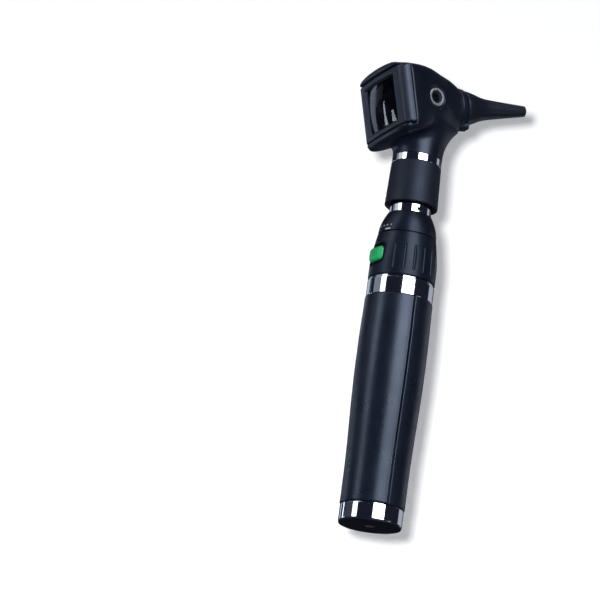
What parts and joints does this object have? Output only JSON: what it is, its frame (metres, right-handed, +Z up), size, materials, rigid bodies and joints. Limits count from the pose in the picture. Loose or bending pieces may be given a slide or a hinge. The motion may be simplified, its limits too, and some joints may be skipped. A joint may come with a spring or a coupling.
{
  "type": "otoscope",
  "caption": "Hand-held ear otoscope: tilted head with sliding magnifier window and ear funnel on a round rechargeable handle with a turning dimmer collar and lock button.",
  "frame": {"origin": "centre of the handle's flat bottom face", "axes": "+Z up the handle's axis, +X forward on the side of the ear funnel, +Y to the user's left"},
  "size_m": [0.0816, 0.047, 0.2238],
  "materials": {
    "head_black": "fine satin moulding",
    "slide_black": "satin",
    "grip_black": "satin",
    "collar_black": "satin",
    "cap_black": "matte",
    "nose_black": "matte",
    "speculum_black": "satin",
    "chrome": "polished",
    "button_green": "semi-gloss",
    "lens_clear": "clear polished",
    "bulb_glass": "clear",
    "fibre": "polished ends",
    "brass": "plain",
    "steel": "plain",
    "aluminium": "turned",
    "battery": "shrink sleeve",
    "insulator": "moulded",
    "resistor": "matte"
  },
  "bodies": {
    "handle": {"rear_grip_shell": "grip_black", "front_grip_shell": "grip_black", "battery_tube": "aluminium", "battery_pack": "battery", "battery_contact": "brass", "contact_block": "insulator", "contact_rod": "brass", "wide_ring": "chrome", "handle_core": "aluminium", "rheostat_track": "resistor", "dome": "collar_black", "bayonet_stub": "chrome", "contact_insulator": "insulator"},
    "cap": {"end_cap": "cap_black", "base_ring": "chrome", "charge_contact": "brass", "battery_spring": "steel"},
    "collar": {"rheostat_collar": "collar_black", "rheostat_wiper": "brass", "button_spring": "steel"},
    "button": {"lock_button": "button_green"},
    "head": {"socket_sleeve": "head_black", "bayonet_socket": "steel", "neck_ring": "chrome", "head_housing": "head_black", "lamp_holder": "insulator", "lamp_contact": "brass", "lamp_base": "steel", "lamp_bulb": "bulb_glass", "light_guide": "fibre", "nose_cone": "nose_black", "front_collar": "head_black", "port_ring": "chrome"},
    "lens": {"lens_frame": "slide_black", "magnifier_lens": "lens_clear"},
    "speculum": {"speculum": "speculum_black"}
  },
  "joints": [
    {"name": "cap_turn", "type": "hinge", "parent": "handle", "child": "cap", "pos_m": [0, 0, 0], "axis": [0, 0, -1], "range_deg": [0, 120]},
    {"name": "collar_turn", "type": "hinge", "parent": "handle", "child": "collar", "pos_m": [0, 0, 0.129], "axis": [0, 0, 1], "range_deg": [0, 120]},
    {"name": "button_press", "type": "slide", "parent": "collar", "child": "button", "axis": [0.9976, 0.0698, 0], "range_m": [0, 0.001], "stiffness_N_per_m": 600, "springref_m": -0.002, "deforming": ["button_spring"]},
    {"name": "head_twist", "type": "hinge", "parent": "handle", "child": "head", "pos_m": [0, 0, 0.16], "axis": [0, 0, 1], "range_deg": [0, 45]},
    {"name": "lens_slide", "type": "hinge", "parent": "head", "child": "lens", "pos_m": [0.1506, 0, 0.24894], "axis": [-0.2605, 0, 0.9655], "range_deg": [-6.5, 6.5]},
    {"name": "speculum_twist", "type": "hinge", "parent": "head", "child": "speculum", "pos_m": [0.0271, 0, 0.21336], "axis": [0.9759, 0, 0.2181], "range_deg": [0, 30]}
  ]
}
